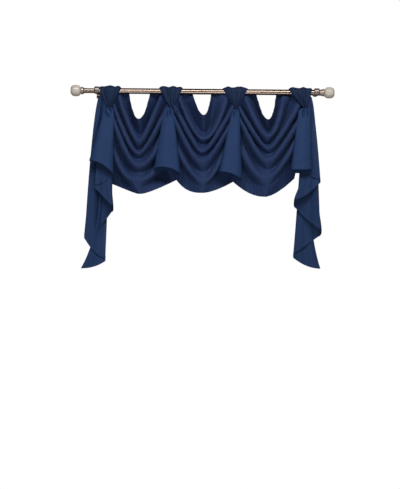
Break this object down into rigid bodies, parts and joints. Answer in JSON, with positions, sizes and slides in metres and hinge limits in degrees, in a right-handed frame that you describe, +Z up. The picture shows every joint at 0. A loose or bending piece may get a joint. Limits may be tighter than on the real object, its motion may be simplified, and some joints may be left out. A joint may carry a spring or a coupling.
{
  "type": "swag curtain with curtain rod",
  "caption": "Swag valance with pleated scoops, flared horns and stepped cascade tails, looped by gathered tabs over a telescoping metal rod with wall brackets and ball finials.",
  "frame": {"origin": "on the wall plane, midway between the two brackets, at the height of the rod's axis", "axes": "+X to the right along the rod, +Y into the wall, +Z up"},
  "size_m": [1.0292, 0.152, 0.71],
  "materials": {
    "cloth": "navy satin-faced plain cloth, soft sheen",
    "rod_metal": "warm brushed nickel",
    "bracket_metal": "dark warm nickel",
    "ball_glass": "crackled smoky glass"
  },
  "bodies": {
    "root": {"swag_left": "cloth", "swag_middle": "cloth", "swag_right": "cloth", "tab_1": "cloth", "tab_2": "cloth", "tab_3": "cloth", "tab_4": "cloth", "horn_1": "cloth", "horn_2": "cloth", "horn_3": "cloth", "horn_4": "cloth", "tail_left": "cloth", "tail_right": "cloth", "rod_outer": "rod_metal", "rod_inner": "rod_metal", "finial_collar_left": "rod_metal", "finial_collar_right": "rod_metal", "bracket_screw_left": "rod_metal", "bracket_left": "bracket_metal", "bracket_right": "bracket_metal", "bracket_plate_left": "bracket_metal", "bracket_plate_right": "bracket_metal", "finial_ball_left": "ball_glass", "finial_ball_right": "ball_glass"}
  },
  "joints": []
}
